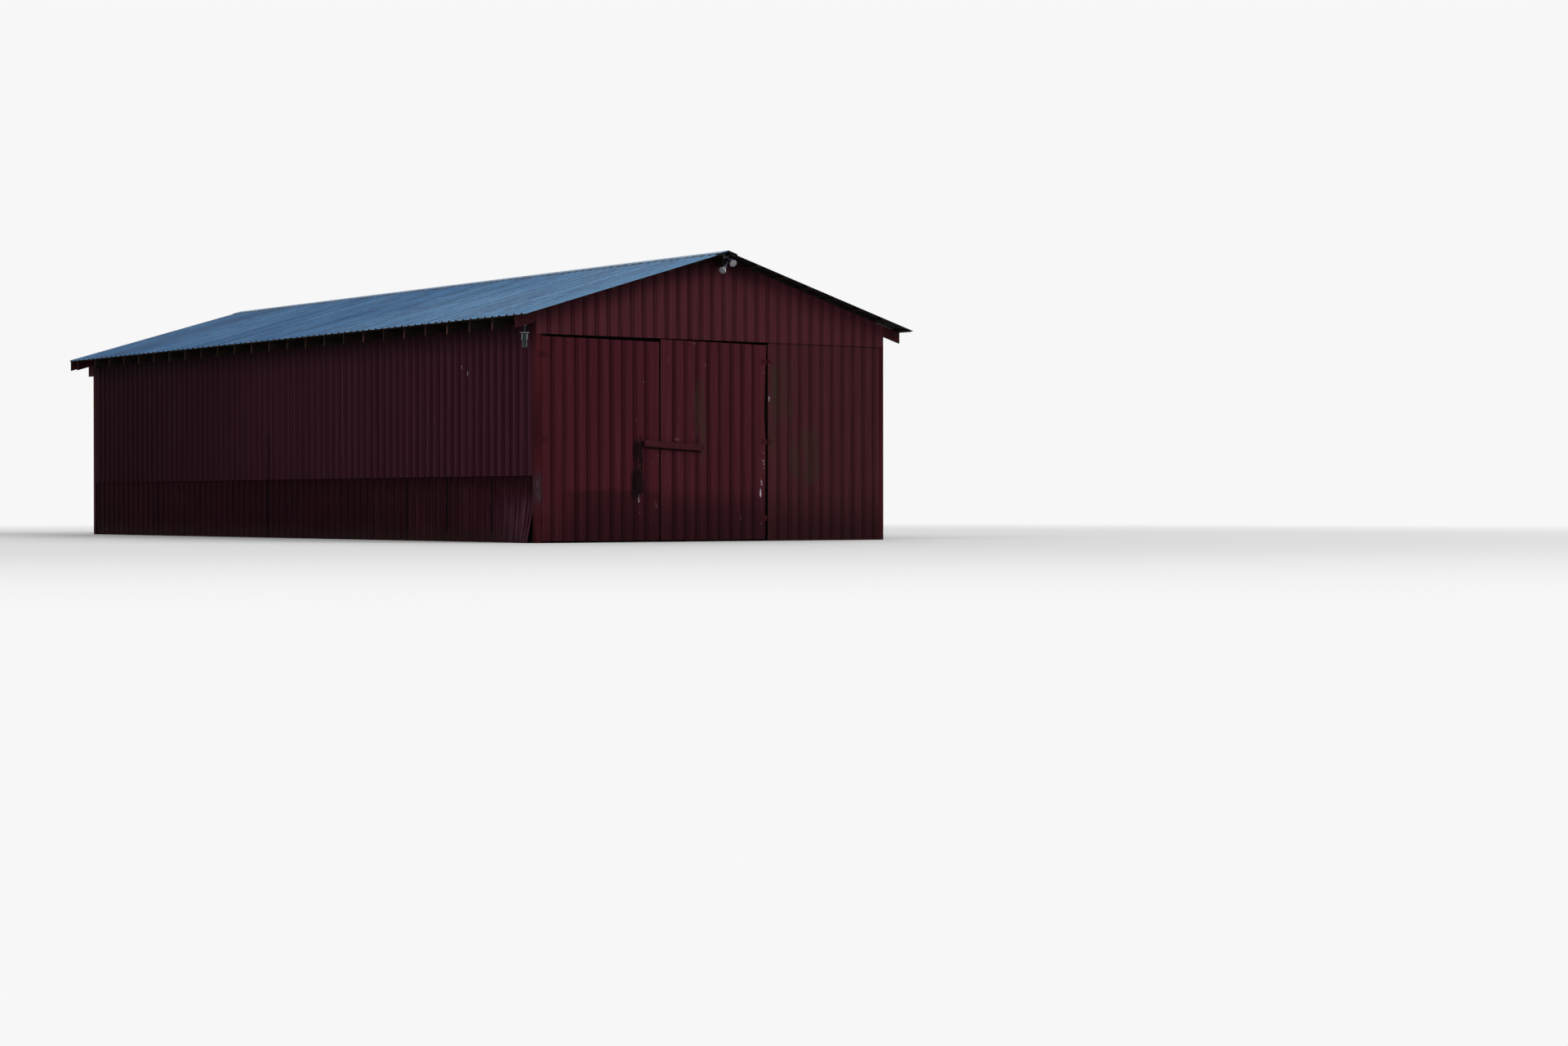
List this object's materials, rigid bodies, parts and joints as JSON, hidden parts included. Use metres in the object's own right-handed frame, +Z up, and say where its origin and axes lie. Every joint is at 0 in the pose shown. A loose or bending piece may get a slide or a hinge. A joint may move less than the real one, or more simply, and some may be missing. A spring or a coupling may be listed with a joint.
{
  "type": "barn",
  "caption": "Gable-fronted post-frame barn clad in red ribbed sheet steel, with a low-pitched galvanised roof, tall paired hinged doors, a flood light and a lantern.",
  "frame": {"origin": "on the lowest ground under the middle of the roof's outline", "axes": "+Z up; +X to the right along the front wall seen from outside; the front with the doors faces -Y, and +Y runs along the ridge to the back"},
  "size_m": [8.177, 19.276, 5.0269],
  "materials": {
    "bare_timber": "weathered sawn timber",
    "red_timber": "old red paint on sawn timber",
    "roof_steel": "weathered galvanised steel",
    "red_steel": "weathered red paint on ribbed steel",
    "skirt_steel": "chalky, dirty red paint",
    "hinge_steel": "painted over in red",
    "lamp_metal": "dull cast aluminium",
    "lamp_glass": "silvered lamp glass",
    "lantern_metal": "dull grey enamel",
    "lantern_glass": "dusty ribbed glass"
  },
  "bodies": {
    "barn": {"left_posts": "bare_timber", "right_posts": "bare_timber", "door_jamb_post": "bare_timber", "back_posts": "bare_timber", "wall_plates": "bare_timber", "side_headers": "red_timber", "left_girts": "bare_timber", "right_girts": "bare_timber", "front_girts": "bare_timber", "back_girts": "bare_timber", "cross_ties": "bare_timber", "gable_studs": "bare_timber", "left_rafters": "bare_timber", "right_rafters": "bare_timber", "front_end_rafters": "red_timber", "back_end_rafters": "red_timber", "back_fly_rafters": "red_timber", "ridge_board": "bare_timber", "left_purlins": "bare_timber", "right_purlins": "bare_timber", "left_roof_sheets": "roof_steel", "right_roof_sheets": "roof_steel", "ridge_cap": "roof_steel", "left_upper_sheets": "red_steel", "left_skirt_sheets": "skirt_steel", "bent_skirt_sheet": "skirt_steel", "right_upper_sheets": "red_steel", "right_skirt_sheets": "skirt_steel", "front_bay_sheets": "red_steel", "front_gable_sheets": "red_steel", "back_wall_sheets": "red_steel", "back_gable_sheets": "red_steel", "corner_trims": "red_steel", "jamb_hinge_flaps": "hinge_steel", "flood_light_arms": "lamp_metal", "flood_lamps": "lamp_glass", "lantern_fitting": "lantern_metal", "lantern_glass": "lantern_glass"},
    "left_leaf": {"left_leaf_frame": "bare_timber", "left_leaf_sheets": "red_steel", "left_leaf_flaps": "hinge_steel"},
    "right_leaf": {"right_leaf_frame": "bare_timber", "right_leaf_sheets": "red_steel", "right_leaf_flaps": "hinge_steel", "door_bar": "red_timber"}
  },
  "joints": [
    {"name": "right_leaf_hinge", "type": "hinge", "parent": "barn", "child": "right_leaf", "pos_m": [1.078, -9.3, 1.75], "axis": [0, 0, 1], "range_deg": [0, 110]},
    {"name": "left_leaf_hinge", "type": "hinge", "parent": "barn", "child": "left_leaf", "pos_m": [-3.5615, -9.3, 1.75], "axis": [0, 0, -1], "range_deg": [0, 99]}
  ],
  "couplings": [
    {"joint": "left_leaf_hinge", "follows": "right_leaf_hinge", "ratio": 0.9}
  ]
}
